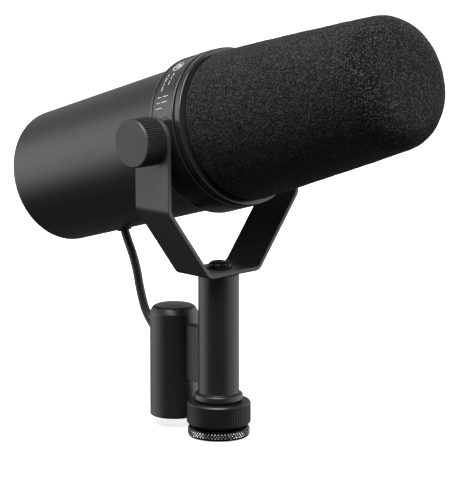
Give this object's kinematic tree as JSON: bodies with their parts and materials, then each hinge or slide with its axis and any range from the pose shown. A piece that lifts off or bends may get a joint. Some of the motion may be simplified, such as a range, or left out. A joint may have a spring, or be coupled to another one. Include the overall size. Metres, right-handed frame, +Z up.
{
  "type": "broadcast microphone",
  "caption": "Cylindrical broadcast microphone with a foam windscreen, in a tilting yoke with side knobs, on a stem with a swivel thread nut and a separate connector housing fed by a short lead.",
  "frame": {"origin": "centre of the thread adapter's lower face, where it seats on a stand", "axes": "+Z up the stem away from the stand, -Y towards the microphone's front, X along the tilt axis; at rest the front is raised 16.65 degrees"},
  "size_m": [0.0942, 0.2072, 0.1763],
  "materials": {
    "satin_black_paint": "satin powder coat, fine texture",
    "black_anodised_aluminium": "black anodised",
    "black_moulded_knob": "satin moulded, fine straight ribs",
    "black_plastic": "matte moulded",
    "red_plastic": "matte moulded",
    "blue_sleeve": "heat-shrunk sleeve",
    "circuit_board": "solder resist on glass laminate",
    "black_rubber": "matte",
    "open_cell_foam": "open-cell foam",
    "polyester_film": "thin clear film",
    "printed_label": null,
    "enamelled_copper": "enamelled wire",
    "turned_aluminium": "turned",
    "zinc_plated_steel": "zinc plated",
    "blackened_steel": "black oxide",
    "nickel_plate": "satin nickel plate"
  },
  "bodies": {
    "stem": {"yoke": "satin_black_paint", "yoke_screw": "blackened_steel", "yoke_washer": "blackened_steel", "stem_tube": "satin_black_paint", "swivel_stud": "zinc_plated_steel", "connector_shell": "satin_black_paint", "connector_bracket": "satin_black_paint", "lower_bracket_screw": "zinc_plated_steel", "upper_bracket_screw": "zinc_plated_steel", "connector_insert": "black_plastic", "contact_pin_1": "nickel_plate", "contact_pin_2": "nickel_plate", "contact_pin_3": "nickel_plate", "insert_lock_screw": "zinc_plated_steel", "cable_boot": "black_rubber", "microphone_lead": "black_rubber", "left_outer_washer": "zinc_plated_steel", "right_outer_washer": "zinc_plated_steel"},
    "head": {"rear_housing": "satin_black_paint", "rear_panel": "black_anodised_aluminium", "panel_screw_1": "blackened_steel", "panel_screw_2": "blackened_steel", "panel_screw_3": "blackened_steel", "cable_grommet": "black_rubber", "bass_switch_case": "black_plastic", "presence_switch_case": "black_plastic", "circuit_board": "circuit_board", "filter_coil": "enamelled_copper", "filter_capacitor_1": "blue_sleeve", "filter_capacitor_2": "blue_sleeve", "acoustic_bulkhead": "black_anodised_aluminium", "mid_collar": "satin_black_paint", "label_plate": "printed_label", "front_flange": "satin_black_paint", "grille_cage": "blackened_steel", "grille_cap": "blackened_steel", "capsule_cradle": "black_anodised_aluminium", "capsule_shell": "turned_aluminium", "rear_shock_mount": "black_rubber", "front_shock_mount": "black_rubber", "humbucking_coil": "enamelled_copper", "magnet": "zinc_plated_steel", "pole_plate": "zinc_plated_steel", "centre_pole": "zinc_plated_steel", "voice_coil": "enamelled_copper", "diaphragm": "polyester_film", "capsule_cover": "black_anodised_aluminium", "left_pivot_stud": "zinc_plated_steel", "right_pivot_stud": "zinc_plated_steel", "left_inner_washer": "black_plastic", "right_inner_washer": "black_plastic"},
    "windscreen": {"windscreen": "open_cell_foam"},
    "left_knob": {"left_knob": "black_moulded_knob"},
    "right_knob": {"right_knob": "black_moulded_knob"},
    "bass_slider": {"bass_slider": "red_plastic"},
    "presence_slider": {"presence_slider": "red_plastic"},
    "stand_nut": {"stand_nut": "black_moulded_knob"},
    "thread_adapter": {"thread_adapter": "nickel_plate"}
  },
  "joints": [
    {"name": "head_tilt", "type": "hinge", "parent": "stem", "child": "head", "pos_m": [0, 0, 0.1241], "axis": [-1, 0, 0], "range_deg": [-12, 18], "deforming": ["microphone_lead"]},
    {"name": "windscreen_pull", "type": "slide", "parent": "head", "child": "windscreen", "axis": [0, -0.9581, 0.2865], "range_m": [0, 0.085]},
    {"name": "left_knob_turn", "type": "hinge", "parent": "head", "child": "left_knob", "pos_m": [0, 0, 0.1241], "axis": [-1, 0, 0], "continuous": true},
    {"name": "right_knob_turn", "type": "hinge", "parent": "head", "child": "right_knob", "pos_m": [0, 0, 0.1241], "axis": [1, 0, 0], "continuous": true},
    {"name": "bass_switch_slide", "type": "slide", "parent": "head", "child": "bass_slider", "axis": [1, 0, 0], "range_m": [0, 0.0044]},
    {"name": "presence_switch_slide", "type": "slide", "parent": "head", "child": "presence_slider", "axis": [1, 0, 0], "range_m": [0, 0.0044]},
    {"name": "stand_nut_turn", "type": "hinge", "parent": "stem", "child": "stand_nut", "pos_m": [0, 0, 0.009], "axis": [0, 0, 1], "continuous": true},
    {"name": "thread_adapter_turn", "type": "hinge", "parent": "stand_nut", "child": "thread_adapter", "pos_m": [0, 0, 0], "axis": [0, 0, 1], "continuous": true}
  ]
}
